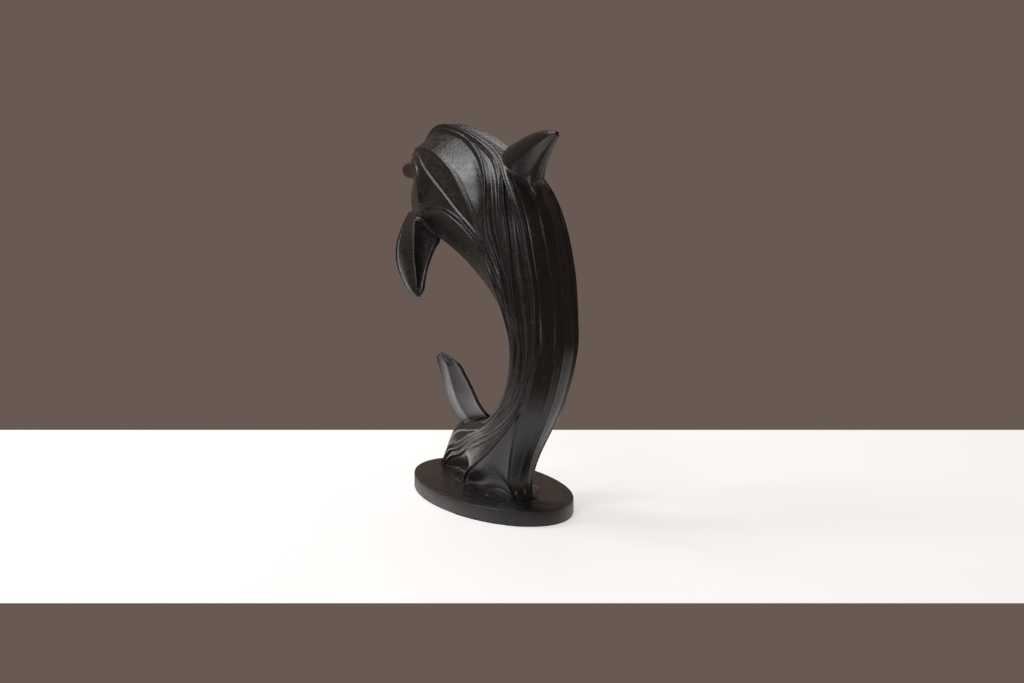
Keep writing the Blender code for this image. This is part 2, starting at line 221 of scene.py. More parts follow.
@dataclass
class Body:
    """The body from tail to snout, with the lines that flow along its flanks."""

    figure: Figure
    # Runs of rings along the stations: where each starts, and how many it has
    runs: tuple[tuple[float, int], ...] = ((0.0, 20), (2.6, 60), (6.4, 104))
    # Power of the sections' curve, which is 2 for an ellipse
    roundness: float = 2.15
    # Degrees that part two lines at least
    closest_lines: float = 1.6
    # Points beside a ridge, in millimetres, and the most of a facet's width that they take up
    near_ridge: tuple[float, ...] = (0.0, 0.4, 0.7, 1.0, 1.45)
    near_share: float = 0.4
    # A ridge's cord, the facet's width that it needs, and the crease on each side of it
    bead_width: float = 0.6
    cord_room: float = 0.6
    crease: float = 0.22
    crease_place: float = 1.0
    crease_width: float = 0.32
    # Half width of the body under which its ridges and cords get lower
    slim: float = 12.0
    # Back x, back z, belly x, belly z, half width to the left and to the right
    outline: tuple[tuple[float, ...], ...] = (
        (50.0, 2.0, 53.0, 8.0, 4.5, 4.0),
        (40.0, 2.0, 44.0, 19.0, 8.5, 7.5),
        (20.0, 2.0, 28.0, 30.0, 11.0, 9.0),
        (-13.0, 2.0, 2.0, 34.0, 13.5, 9.5),
        (-40.0, 6.0, -19.0, 39.0, 14.0, 6.5),
        (-54.0, 25.0, -30.5, 46.0, 12.0, 8.2),
        (-65.0, 45.0, -36.0, 54.0, 11.0, 10.2),
        (-66.5, 68.0, -36.5, 68.0, 12.0, 11.8),
        (-62.0, 86.0, -28.5, 81.5, 14.0, 13.6),
        (-58.0, 104.0, -15.0, 91.8, 16.0, 15.2),
        (-51.0, 123.5, 2.5, 99.8, 18.0, 15.8),
        (-38.0, 137.5, 19.5, 105.5, 19.0, 16.4),
        (-14.0, 148.5, 36.0, 110.0, 19.0, 17.2),
        (16.0, 157.2, 50.0, 114.0, 18.0, 17.0),
        (43.0, 160.0, 61.0, 119.0, 14.0, 14.0),
        (58.5, 155.0, 68.5, 126.0, 9.0, 9.0),
        (68.5, 147.0, 71.0, 133.0, 4.6, 4.6),
    )
    ridges: tuple[Ridge, ...] = (
        # Edge of the band along the back
        Ridge(((0, 5), (7.2, 8), (8.3, 5), (9.4, 6.5), (9.9, 7), (10.5, 5), (16, 5)), 0.3, 0.15),
        # Heel, foot and strip, which run as one cord over the waist
        Ridge(
            (
                (0, 8), (3.9, 8), (4.24, 14), (4.48, 25), (4.81, 33), (5.19, 41.5), (5.44, 47),
                (5.8, 50), (6.1, 48), (6.7, 45.5), (7.5, 41), (8.0, 37), (8.5, 33.5), (9.1, 32),
                (9.8, 29.5), (10.6, 26.5), (11.1, 23.5), (11.84, 11), (12.3, 6), (14.2, 3), (16, 8),
            ),
            0.85,
        ),
        Ridge(
            (
                (0, 14), (2.9, 18), (3.04, 30), (3.12, 52), (3.22, 68), (3.42, 78), (3.75, 84),
                (4.1, 85), (4.69, 77.5), (5.2, 68.5), (5.69, 60), (6.1, 52.5), (6.7, 48.5),
                (7.5, 43.2), (8.0, 39.2), (8.5, 35.7), (9.1, 34.5), (9.8, 32), (10.6, 29),
                (11.1, 26), (11.84, 13), (12.3, 8), (14.2, 4), (16, 12),
            ),
            1.2,
        ),
        Ridge(
            (
                (0, 72), (1.2, 80.5), (2.55, 93), (3.3, 106), (3.75, 110.5), (4.06, 109),
                (4.75, 94.5), (5.3, 79.5), (5.7, 69), (6.1, 59.5), (6.5, 53), (6.9, 49),
                (7.5, 45.5), (8.0, 41.5), (8.5, 38), (9.1, 37), (9.8, 34.5), (10.6, 32),
                (11.1, 28.5), (11.84, 15), (12.3, 10), (14.2, 5), (16, 16),
            ),
            0.4,
        ),
        # Faint ridge between that cord and the flank's
        Ridge(
            (
                (0, 78), (1.2, 83.5), (2.55, 96), (3.3, 110), (3.75, 114.5), (4.06, 113), (4.8, 98),
                (5.4, 86), (5.8, 76), (6.2, 68), (6.7, 64), (7.36, 62), (7.93, 58.5), (8.6, 54),
                (9.19, 50), (9.64, 45.5), (10.14, 40.5), (10.53, 37), (10.9, 32), (11.4, 22.5),
                (11.9, 16), (12.3, 12), (14.2, 6), (16, 18),
            ),
            0.15,
            0.2,
        ),
        # Flank, from the hood down to the toe
        Ridge(
            (
                (0, 84), (0.8, 87), (2.48, 99), (3.3, 114), (3.75, 119), (4.0, 118), (4.6, 107),
                (5.4, 93), (5.84, 84.5), (6.15, 76.5), (6.5, 74.5), (7.1, 75), (7.64, 73),
                (8.19, 69), (8.61, 65), (9.09, 59), (9.68, 52), (10.19, 46.5), (10.64, 41),
                (11.3, 28), (11.8, 18.5), (12.3, 14), (14.2, 7), (16, 20),
            ),
            1.35,
        ),
        # Faint ridge before it
        Ridge(
            (
                (0, 85.5), (0.8, 89.5), (2.5, 101.5), (3.3, 116.5), (3.75, 121), (4.0, 119.8),
                (4.6, 109), (5.4, 96), (5.84, 88.5), (6.15, 81), (6.5, 79), (7.1, 80), (7.64, 78.5),
                (8.19, 75.5), (8.59, 71.5), (8.99, 67), (9.47, 61), (9.89, 56), (10.25, 52),
                (10.69, 45.5), (11.1, 37), (11.59, 25.5), (11.94, 19), (12.3, 16), (14.2, 8),
                (16, 22),
            ),
            0.6,
            0.4,
        ),
        # Groove behind the hood
        Ridge(
            (
                (0, 87), (1.2, 93.5), (2.6, 106), (3.3, 119.5), (3.75, 123), (4.0, 122),
                (4.83, 107.5), (5.5, 98), (6.2, 88), (7.1, 85), (7.9, 80.5), (8.6, 75.5), (9.3, 70),
                (9.7, 66.5), (10.0, 64), (10.36, 59.5), (10.74, 52.5), (11.16, 43.5), (11.6, 32.5),
                (11.95, 25.5), (12.35, 19.5), (12.8, 14.5), (14.2, 9), (16, 25),
            ),
            -0.6,
            0.0,
        ),
        # Edge of the hood
        Ridge(
            (
                (0, 90), (1.2, 97), (2.65, 111.5), (3.3, 125), (3.75, 127.5), (4.0, 126),
                (4.8, 113.5), (5.5, 103), (6.2, 97), (7.2, 91.5), (7.64, 89.5), (8.22, 86),
                (8.7, 80.5), (9.31, 75.5), (9.71, 74), (10.01, 73), (10.36, 68), (10.74, 61),
                (11.16, 51), (11.6, 40), (11.95, 32), (12.35, 24.5), (12.8, 18.5), (14.2, 10),
                (16, 28),
            ),
            1.0,
        ),
        # Cheek
        Ridge(
            (
                (0, 98), (1.6, 118), (2.8, 136), (4.0, 131), (5.5, 108), (7.2, 95), (8.2, 89.5),
                (9.0, 82.5), (10.2, 80), (11.0, 75), (11.8, 66), (12.5, 59), (13.2, 56), (14.0, 60),
                (16, 62),
            ),
            0.6,
        ),
        # Jaw
        Ridge(
            (
                (0, 104), (1.6, 124), (2.8, 141), (4.0, 135), (5.5, 113), (7.2, 98.5), (8.2, 93),
                (9.0, 86.5), (10.0, 85), (11.1, 87), (12.1, 83), (13.1, 76), (14.0, 68), (16, 72),
            ),
            0.6,
        ),
        # Throat
        Ridge(
            (
                (0, 110), (1.6, 130), (2.8, 146), (4.0, 140), (5.5, 119), (7.2, 102), (8.2, 96.5),
                (9.0, 89.5), (10.0, 88), (11.4, 92), (12.3, 104), (12.7, 112), (12.9, 100),
                (13.2, 90), (13.6, 80), (14.4, 76), (16, 82),
            ),
            0.4,
        ),
        # Shoulder
        Ridge(
            (
                (0, 118), (1.6, 137), (2.8, 151), (4.0, 146), (5.5, 126), (7.2, 106), (7.9, 103.5),
                (8.74, 97), (9.4, 92.5), (10.0, 91), (11.1, 94), (11.9, 99), (12.2, 106),
                (12.7, 119), (13.4, 134), (14.4, 138), (16, 130),
            ),
            0.85,
        ),
        # Belly
        Ridge(
            ((0, 140), (2.8, 160), (5.5, 148), (9.0, 136), (12.0, 146), (13.4, 157), (16, 155)),
            0.3,
            0.15,
        ),
    )
    # One before each ridge and one after the last, from the back to the belly
    facets: tuple[Facet, ...] = (
        Facet(0.0, 0.0, 2),
        Facet(0.35, 0.03, 8, 0.8),
        Facet(0.8, 0.12, 6, 0.6),
        Facet(0.8, 0.12, 6, 0.5),
        Facet(0.9, 0.06, 4, 0.5),
        Facet(0.9, 0.08, 4, 0.5),
        Facet(0.5, 0.1, 2),
        Facet(0.0, 0.02, 2),
        Facet(0.0, 0.02, 2),
        Facet(0.9, 0.15, 8, 0.4),
        Facet(0.9, 0.16, 7, 0.36),
        Facet(0.9, 0.15, 6, 0.38),
        Facet(1.0, 0.14, 5, 0.45),
        Facet(0.6, 0.08, 4, 0.5),
        Facet(0.0, 0.03, 3),
    )
    # How far the foot spreads at the plinth, by the drawn x, on the left and on the right
    flare_left: Path = ((-60, 12), (-38, 11), (-20, 7), (-5, 4), (15, 3), (35, 2.7), (55, 4))
    flare_right: Path = ((-60, 14), (-38, 13), (-20, 9), (-5, 5), (15, 3.5), (35, 2.7), (55, 4))
    # Height up to which it spreads in full, the fade above, and where it spreads only sideways
    flare_level: float = 7.4
    flare_fade: float = 5.0
    heel_x: float = -30.0
    toe_x: float = 45.0

    def section(self, rows: Points, degrees: Points) -> Points:
        """Points of the smooth sections.

        Args:
            rows: One outline row for each station.
            degrees: Stations by points, from the back, below zero on the right.

        Returns:
            Stations by points by x, y, z.
        """
        back_x, back_z, belly_x, belly_z, left, right = rows.T[..., None]
        c, s = np.cos(np.radians(degrees)), np.sin(np.radians(degrees))
        half = np.where(s >= 0, left, right)
        c = np.sign(c) * np.abs(c) ** (2 / self.roundness)
        s = np.sign(s) * np.abs(s) ** (2 / self.roundness)
        x = (back_x + belly_x) / 2 + (back_x - belly_x) / 2 * c
        z = (back_z + belly_z) / 2 + (back_z - belly_z) / 2 * c
        return np.stack([x, half * s, z], -1)

    def centres(self, rows: Points) -> Points:
        """Points halfway between the back and the belly, one for each row."""
        return self.section(rows, np.tile((0.0, 180.0), (len(rows), 1))).mean(1, keepdims=True)

    def line_degrees(self, at: Points) -> Points:
        """Degrees of every line, kept in order and apart.

        Args:
            at: The stations.

        Returns:
            Stations by lines, with the back's middle first and the belly's last.
        """
        lines = [np.zeros(len(at))]
        for ridge in self.ridges:
            lines.append(np.maximum(rising(ridge.path, at), lines[-1] + self.closest_lines))
        lines.append(np.full(len(at), 180.0))
        return np.array(lines).T

    def spacing(self, width: Points, steps: int) -> Points:
        """Places across a facet, close together at both ridges.

        Args:
            width: Width of the facet at each station.
            steps: Steps across its middle.

        Returns:
            Stations by places, from 0 and short of 1.
        """
        near = np.array(self.near_ridge)
        share = np.minimum(self.near_share, near[-1] / width)[:, None] * near / near[-1]
        middle = np.linspace(0, 1, steps + 1)[1:-1]
        gap = 1 - 2 * share[:, -1:]
        return np.hstack([share, share[:, -1:] + gap * middle, 1 - share[:, :0:-1]])

    def raised(self, bead: float, away: Points) -> Points:
        """Height of a ridge's cord, and of the crease beside it, at a distance from the ridge.

        Args:
            bead: Height of the cord.
            away: Distance from the middle of the ridge.

        Returns:
            Millimetres above the face.
        """
        rise = bead * cord(away, self.bead_width)
        if bead >= self.crease:
            rise -= self.crease * bell(away - self.crease_place, self.crease_width)
        return rise

    def flank(self, rows: Points, degrees: Points, side: int) -> Points:
        """One side of every ring, from the back to the belly.

        Args:
            rows: One outline row for each station.
            degrees: Degrees of every line at each station.
            side: 1 for the left, -1 for the right.

        Returns:
            Stations by points by x, y, z.
        """
        centre = self.centres(rows)
        half = rows[:, 4] if side > 0 else rows[:, 5]
        size = np.minimum(1.0, half / self.slim)[:, None]
        back, belly = Ridge((), self.ridges[0].height, 0.0), Ridge((), 0.0, 0.0)
        lines = (back, *self.ridges, belly)
        parts = []
        for k, facet in enumerate(self.facets):
            start, end = degrees[:, k, None], degrees[:, k + 1, None]
            a, b = self.section(rows, side * start), self.section(rows, side * end)
            width = np.linalg.norm(b - a, axis=-1)
            t = self.spacing(width[:, 0], facet.steps)
            arc = self.section(rows, side * (start + (end - start) * t))
            chord = a + (b - a) * t[..., None]
            base = arc * (1 - facet.flat) + chord * facet.flat
            lean = t**facet.lean
            rise = (lines[k].height * (1 - t) + lines[k + 1].height * t) * size
            rise -= facet.hollow * width * 4 * lean * (1 - lean)
            full = np.minimum(1.0, width / self.cord_room) * size
            rise += full * self.raised(lines[k].bead, t * width)
            rise += full * self.raised(lines[k + 1].bead, (1 - t) * width)
            parts.append(base + unit(base - centre) * rise[..., None])
        parts.append(self.section(rows, np.full((len(rows), 1), 180.0)))
        return np.concatenate(parts, 1)

    def flared(self, points: Points) -> Points:
        """Spreads the foot out where it meets the plinth.

        Args:
            points: Points of the drawing.

        Returns:
            The same points, the low ones moved outwards.
        """
        x, y, z = points[..., 0], points[..., 1], points[..., 2]
        out = np.stack([x - np.clip(x, self.heel_x, self.toe_x), y], -1)
        amount = np.where(y >= 0, rising(self.flare_left, x), rising(self.flare_right, x))
        low = np.exp(-np.maximum(z - self.flare_level, 0) / self.flare_fade)
        moved = points.copy()
        moved[..., :2] += unit(out) * (amount * low)[..., None]
        return moved

    def shell(self) -> Shell:
        """The body's skin.

        Returns:
            The skin, in metres.
        """
        ends = [start for start, _ in self.runs[1:]] + [len(self.outline) - 1]
        runs = [np.linspace(run[0], end, run[1], endpoint=False) for run, end in zip(self.runs, ends)]
        at = np.append(np.concatenate(runs), ends[-1])
        rows = flowing(self.outline, at)
        degrees = self.line_degrees(at)
        left = self.flank(rows, degrees, 1)
        right = self.flank(rows, degrees, -1)
        rings = np.concatenate([left, right[:, -2:0:-1]], 1)
        return Shell(self.figure.place(self.flared(rings)))


@dataclass
class Blade:
    """A flipper or a fluke: its ribs give front edge, crest and rear edge, root to tip."""

    figure: Figure
    ribs: Ribs
    rings: int = 90
    across: int = 12
    edge: float = 0.5
    # The inner face's bulge, the hollows before and behind the crest, and the bead on each edge
    swell: float = 2.2
    sink_front: float = 0.5
    sink_rear: float = 0.6
    bead: float = 0.3
    bead_width: float = 0.45
    # Chord under which all of these get smaller
    full_chord: float = 8.0

    def shell(self, side: int) -> Shell:
        """The blade's skin.

        Args:
            side: 1 for the left blade, -1 for the right one.

        Returns:
            The skin, in metres.
        """
        at = np.linspace(0, len(self.ribs) - 1, self.rings)
        rows = flowing(self.ribs, at)
        front, crest, rear = rows[:, 0], rows[:, 1], rows[:, 2]
        lift = np.gradient(rows.mean(1), axis=0)
        chord = rear - front
        normal = unit(np.cross(chord, lift))
        facing = np.sum(normal * (crest - (front + rear) / 2), -1)
        normal = np.where(facing[:, None] < 0, -normal, normal)[:, None]
        length = np.linalg.norm(chord, axis=-1)[:, None, None]
        wide = np.minimum(1.0, length / self.full_chord)
        t = (np.arange(self.across) / self.across)[None, :, None]
        front, crest, rear, chord = (v[:, None] for v in (front, crest, rear, chord))
        edge = normal * self.edge * wide

        def face(a: Points, b: Points, sink: float) -> Points:
            """The hollow face between two edges, with a bead along each.

            Args:
                a: Points of the edge that it starts at.
                b: Points of the edge that it ends at.
                sink: Depth of the hollow.

            Returns:
                Rings of points, short of the second edge.
            """
            span = np.linalg.norm(b - a, axis=-1, keepdims=True)
            line = a * (1 - t) + b * t
            bead = bell(t * span, self.bead_width) + bell((1 - t) * span, self.bead_width)
            return line + normal * wide * (self.bead * bead - sink * 4 * t * (1 - t))

        before = face(front + edge, crest, self.sink_front)
        behind = face(crest, rear + edge, self.sink_rear)
        back = t[:, ::-1] + 1 / self.across
        inner = front - edge + chord * back - normal * self.swell * wide * 4 * back * (1 - back)
        rim = (rear + edge + normal * self.bead * wide, rear - edge)
        rings = np.concatenate([before, behind, *rim, inner[:, 1:], front - edge], 1)
        return Shell(self.figure.place(rings * np.array([1, side, 1])))


@dataclass
class Dorsal:
    """The back fin: front x and z, rear x and z, and half thickness of each rib."""

    figure: Figure
    rings: int = 80
    across: int = 28
    ribs: tuple[tuple[float, ...], ...] = (
        (-18.0, 137.0, -52.5, 110.0, 10.0),
        (-13.5, 146.0, -47.5, 124.5, 8.5),
        (-15.5, 151.0, -45.2, 132.0, 6.6),
        (-25.0, 154.2, -44.8, 137.5, 4.9),
        (-35.0, 157.0, -47.0, 143.0, 3.6),
        (-45.0, 158.8, -50.8, 148.0, 2.8),
        (-53.0, 159.4, -55.2, 152.6, 2.2),
        (-59.8, 158.9, -60.4, 157.2, 0.9),
    )
    # Thickness across the fin, from its front edge to its rear one
    profile: Path = (
        (0.0, 0.1), (0.07, 0.45), (0.22, 0.8), (0.42, 1.0), (0.6, 0.75), (0.8, 0.28), (1.0, 0.1),
    )
    # The rear rail: half width at its root and tip, and where and how fast the fin widens to it
    rail_root: float = 2.9
    rail_tip: float = 0.9
    rail_from: float = 0.7
    rail_power: float = 1.5

    def shell(self) -> Shell:
        """The fin's skin.

        Returns:
            The skin, in metres.
        """
        at = np.linspace(0, len(self.ribs) - 1, self.rings)
        rows = flowing(self.ribs, at)
        front_x, front_z, rear_x, rear_z, half = rows.T[..., None]
        t = np.sin(np.linspace(0, 1, self.across) * math.pi / 2)[None]
        along = (at / at[-1])[:, None]
        rail = np.minimum(self.rail_root + (self.rail_tip - self.rail_root) * along, half)
        share = np.clip((t - self.rail_from) / (1 - self.rail_from), 0, 1) ** self.rail_power
        wide = half * rising(self.profile, t[0])[None]
        wide = wide + (np.maximum(rail, wide) - wide) * share
        x, z = front_x + (rear_x - front_x) * t, front_z + (rear_z - front_z) * t
        left = np.stack([x, wide, z], -1)
        right = left[:, ::-1] * np.array([1, -1, 1])
        return Shell(self.figure.place(np.concatenate([left, right], 1)))


@dataclass
class Beak:
    """The beak: centre x and z, half height and half width of each rib, with a mouth line."""

    figure: Figure
    rings: int = 60
    around: int = 64
    ribs: tuple[tuple[float, ...], ...] = (
        (57.0, 141.0, 10.0, 8.0),
        (66.0, 140.2, 6.8, 6.2),
        (73.0, 139.8, 4.8, 4.6),
        (79.5, 139.7, 3.9, 3.8),
        (85.0, 139.6, 3.4, 3.2),
        (88.2, 139.6, 2.2, 2.0),
        (89.4, 139.6, 0.8, 0.8),
    )
    # The line of the mouth: its depth, and its width and place in radians from the middle
    mouth_depth: float = 0.22
    mouth_width: float = 0.1
    mouth_drop: float = -0.25

    def shell(self) -> Shell:
        """The beak's skin.

        Returns:
            The skin, in metres.
        """
        at = np.linspace(0, len(self.ribs) - 1, self.rings)
        rows = flowing(self.ribs, at)
        x, z, high, wide = rows.T[..., None]
        turn = np.linspace(0, 2 * math.pi, self.around, endpoint=False)[None]
        place = np.arcsin(np.clip(np.sin(turn), -1, 1))
        groove = self.mouth_depth * bell(place - self.mouth_drop, self.mouth_width)
        y = (wide - groove) * np.cos(turn)
        return Shell(self.figure.place(np.stack([x + 0 * y, y, z + high * np.sin(turn)], -1)))


@dataclass
class Plinth:
    """The oval plinth, whose top rises to the foot in low terraces."""

    figure: Figure
    length: float = 146.0
    width: float = 59.0
    # The edges' radius, and as shares of it the middle of the top's round and the insets below
    edge: float = 0.5
    edge_middle: float = 0.3
    base_insets: tuple[float, float, float] = (0.5, 0.4, 0.2)
    around: int = 300
    # How high the top rises, and in how many terraces
    dome: float = 1.6
    steps: int = 8
    # Place along the slope and height, in millimetres and steps, of the rings of one terrace
    terrace: Path = ((-0.4, 0.0), (-0.05, 0.0), (0.12, 0.85), (0.3, 1.05), (0.6, 1.0))
    # The oval that the terraces end at: middle x and y, half length and half width
    foot: tuple[float, float, float, float] = (-3.0, 2.0, 58.0, 15.0)
    # Their slope: how far inside the plinth's edge it starts, the place of a rise on its tread,
    # the least from one ring to the next, and the shares of the slope that the rings keep within
    top_inset: float = 1.0
    rise_place: float = 0.6
    least_tread: float = 0.04
    treads_end: tuple[float, float] = (0.02, 1.2)
    # Waves of each terrace's edge: how many, how high, how fast that falls, and how they drift
    waves: int = 9
    waviness: float = 0.07
    wave_fade: float = 0.5
    drift: tuple[float, float] = (0.35, 0.2)
    # What is left of the first layer's brim: its width, how it is torn, its height and where that
    # falls off, and its middle, reach and fade round the plinth in radians
    brim: float = 0.55
    tear: tuple[float, float, float] = (0.25, 0.5, 0.25)
    brim_height: float = 0.3
    brim_shoulder: float = 0.7
    brim_middle: float = 2.5
    brim_reach: float = 0.55
    brim_fade: float = 6.0
    seed: int = 7

    def rings_on_top(self, turn: Points) -> list[Points]:
        """The terraces, from the rim inwards.

        Args:
            turn: Angles round the plinth.

        Returns:
            Rings of x, y, z in millimetres.
        """
        random = np.random.default_rng(self.seed)
        rings = []
        riser = self.dome / self.steps
        centre_x, centre_y, foot_long, foot_wide = self.foot
        phases = random.uniform(0, 2 * math.pi, (self.waves, 2))
        drifts = self.drift[0] + self.drift[1] * np.sin(phases[:, 1])
        long, wide = self.length / 2 - self.top_inset, self.width / 2 - self.top_inset
        rim = np.stack([long * np.cos(turn), wide * np.sin(turn)], -1)
        oval = [centre_x + foot_long * np.cos(turn), centre_y + foot_wide * np.sin(turn)]
        foot = np.stack(oval, -1)
        slope = np.linalg.norm(foot - rim, axis=-1)
        place = 0.0
        for step in range(self.steps):
            wave = sum(
                np.sin(turn * (2 + 2 * n) + phases[n, 0] + step * drifts[n]) / (1 + self.wave_fade * n)
                for n in range(self.waves)
            )
            middle = (step + self.rise_place) / self.steps + self.waviness * wave
            for along, lift in self.terrace:
                wanted = np.clip(middle + along / slope, *self.treads_end)
                place = np.maximum(place + self.least_tread / slope, wanted)
                flat = rim + (foot - rim) * place[:, None]
                z = np.full((len(turn), 1), self.figure.rim + riser * (step + lift))
                rings.append(np.hstack([flat, z]))
        return rings

    def ragged(self, turn: Points) -> Points:
        """How far what is left of the first layer's brim stands out.

        Args:
            turn: Angles round the plinth.

        Returns:
            Millimetres for each angle.
        """
        random = np.random.default_rng(self.seed)
        torn = np.convolve(random.uniform(0, 1, len(turn)), self.tear, "same")
        away = np.abs((turn - self.brim_middle + math.pi) % (2 * math.pi) - math.pi)
        return self.brim * torn * np.clip((self.brim_reach - away) * self.brim_fade, 0, 1)

    def shell(self) -> Shell:
        """The plinth's skin.

        Returns:
            The skin, in metres.
        """
        turn = np.linspace(0, 2 * math.pi, self.around, endpoint=False)
        rings = []
        brim, rim, edge = self.ragged(turn), self.figure.rim, self.edge
        base, shoulder, lip = self.base_insets
        for inset, z in (
            (edge * base - brim, 0.0),
            (edge * shoulder - brim, self.brim_height * self.brim_shoulder),
            (edge * lip, self.brim_height),
            (0.0, edge),
            (0.0, rim - edge),
            (edge * self.edge_middle, rim - edge * self.edge_middle),
            (edge, rim),
        ):
            x = (self.length / 2 - inset) * np.cos(turn)
            y = (self.width / 2 - inset) * np.sin(turn)
            rings.append(np.stack([x, y, np.full_like(turn, z)], -1))
        rings += self.rings_on_top(turn)
        return Shell(np.array(rings) * MM)


class Socket:
    """A shader value that takes part in Python arithmetic."""

    def __init__(self, nodes: "Nodes", out: bpy.types.NodeSocket) -> None:
        """Wrap one output socket of a node tree."""
        self.nodes = nodes
        self.out = out

    def _math(self, operation: str, *values: Any) -> "Socket":
        """A Math node over this value and the others."""
        return self.nodes.add("ShaderNodeMath", {"operation": operation}, dict(enumerate(values)))

    def __add__(self, other: Any) -> "Socket":
        """Sum."""
        return self._math("ADD", self, other)

    __radd__ = __add__

    def __sub__(self, other: Any) -> "Socket":
        """Difference."""
        return self._math("SUBTRACT", self, other)

    def __rsub__(self, other: Any) -> "Socket":
        """Difference the other way round."""
        return self._math("SUBTRACT", other, self)

    def __mul__(self, other: Any) -> "Socket":
        """Product."""
        return self._math("MULTIPLY", self, other)

    __rmul__ = __mul__

    def __pow__(self, other: Any) -> "Socket":
        """Power."""
        return self._math("POWER", self, other)

    def sine(self) -> "Socket":
        """Sine of the value."""
        return self._math("SINE", self)

    def clamped(self) -> "Socket":
        """The value held between 0 and 1."""
        return self.nodes.add("ShaderNodeClamp", {}, {"Value": self})


class Nodes:
    """Builds a material's node tree."""

    def __init__(self, material: bpy.types.Material) -> None:
        """Start on an empty tree.

        Args:
            material: The material to build.
        """
        material.use_nodes = True
        self.tree = material.node_tree
        self.tree.nodes.clear()

    def add(self, kind: str, settings: dict[str, Any], sockets: dict[Any, Any], out: Any = 0) -> Socket:
        """Add a node.

        Args:
            kind: The node's type name.
            settings: Attributes of the node, set before its sockets.
            sockets: A value or a link for each input, by name or number.
            out: The output to give back, by name or number.

        Returns:
            The output socket, wrapped.
        """
        node = self.tree.nodes.new(kind)
        for name, value in settings.items():
            setattr(node, name, value)
        for name, value in sockets.items():
            if isinstance(value, Socket):
                self.tree.links.new(value.out, node.inputs[name])
            else:
                node.inputs[name].default_value = value
        return Socket(self, node.outputs[out])


@dataclass(frozen=True)
class BlackPlastic:
    """Satin black printed plastic: fine layers, faint bands and a mottled gloss."""

    colour: tuple[float, float, float, float] = (0.013, 0.011, 0.0105, 1.0)
    faded: tuple[float, float, float, float] = (0.026, 0.021, 0.019, 1.0)
    # Roughness, and what mottling, bands of layers and the plinth's side below the rim add to it
    roughness: float = 0.23
    mottled_by: float = 0.3
    banded_by: float = 0.15
    rim: float = 6.8
    rim_rougher: float = 0.25
    # Wear: the mottling that it starts at, and how fast mottling and bands bring it on
    worn_from: float = 0.45
    worn_by_mottle: float = 1.5
    worn_by_bands: float = 0.8
    # Relief in millimetres: a layer's height and depth, and the depths of bands and grain
    layer: float = 0.3
    layer_depth: float = 0.005
    band_depth: float = 0.02
    grain_depth: float = 0.022
    # Spots, grains and bands to a millimetre, and how finely they are broken up
    mottle_scale: float = 0.35
    mottle_detail: float = 4.0
    grain_scale: float = 3.2
    band_scale: float = 1.6
    detail: float = 3.0
    ior: float = 1.5

    def material(self, name: str) -> bpy.types.Material:
        """The finish as a material.

        Args:
            name: Name of the material.

        Returns:
            The material, on Object coordinates.
        """
        material = bpy.data.materials.new(name)
        nodes = Nodes(material)
        place = nodes.add("ShaderNodeTexCoord", {}, {}, "Object")
        scaled = {0: place, "Scale": 1 / MM}
        millimetres = nodes.add("ShaderNodeVectorMath", {"operation": "SCALE"}, scaled)
        height = nodes.add("ShaderNodeSeparateXYZ", {}, {0: millimetres}, "Z")
        noise = "ShaderNodeTexNoise"
        spots = {"Vector": millimetres, "Scale": self.mottle_scale, "Detail": self.mottle_detail}
        mottle = nodes.add(noise, {}, spots)
        grains = {"Vector": millimetres, "Scale": self.grain_scale, "Detail": self.detail}
        grain = nodes.add(noise, {}, grains)
        along = {"W": height, "Scale": self.band_scale, "Detail": self.detail}
        bands = nodes.add(noise, {"noise_dimensions": "1D"}, along)
        turn = height * (2 * math.pi / self.layer)
        facing = nodes.add("ShaderNodeNewGeometry", {}, {}, "Normal")
        upright = nodes.add("ShaderNodeSeparateXYZ", {}, {0: facing}, "Z")
        level = (upright * upright).clamped()
        # The first three waves of a sawtooth, on level faces, and one wave on upright ones
        stairs = turn.sine() + (turn * 2).sine() * 0.5 + (turn * 3).sine() * 0.33
        layers = turn.sine() * self.layer_depth * (1 - level)
        layers = layers + stairs * (self.layer / math.pi) * level**2
        relief = layers + bands * self.band_depth + grain * self.grain_depth
        bump = nodes.add("ShaderNodeBump", {}, {"Strength": 1.0, "Distance": MM, "Height": relief})
        low = (self.rim - height).clamped()
        gloss = self.roughness + (mottle - 0.5) * self.mottled_by + (bands - 0.5) * self.banded_by
        gloss = (gloss + low * self.rim_rougher).clamped()
        worn = (mottle - self.worn_from) * self.worn_by_mottle + (bands - 0.5) * self.worn_by_bands
        colours = {"Factor": worn.clamped(), 6: self.colour, 7: self.faded}
        colour = nodes.add("ShaderNodeMix", {"data_type": "RGBA"}, colours, 2)
        look = {"Base Color": colour, "Roughness": gloss, "IOR": self.ior, "Normal": bump}
        shader = nodes.add("ShaderNodeBsdfPrincipled", {}, look)
        output = nodes.tree.nodes.new("ShaderNodeOutputMaterial")
        nodes.tree.links.new(shader.out, output.inputs["Surface"])
        return material


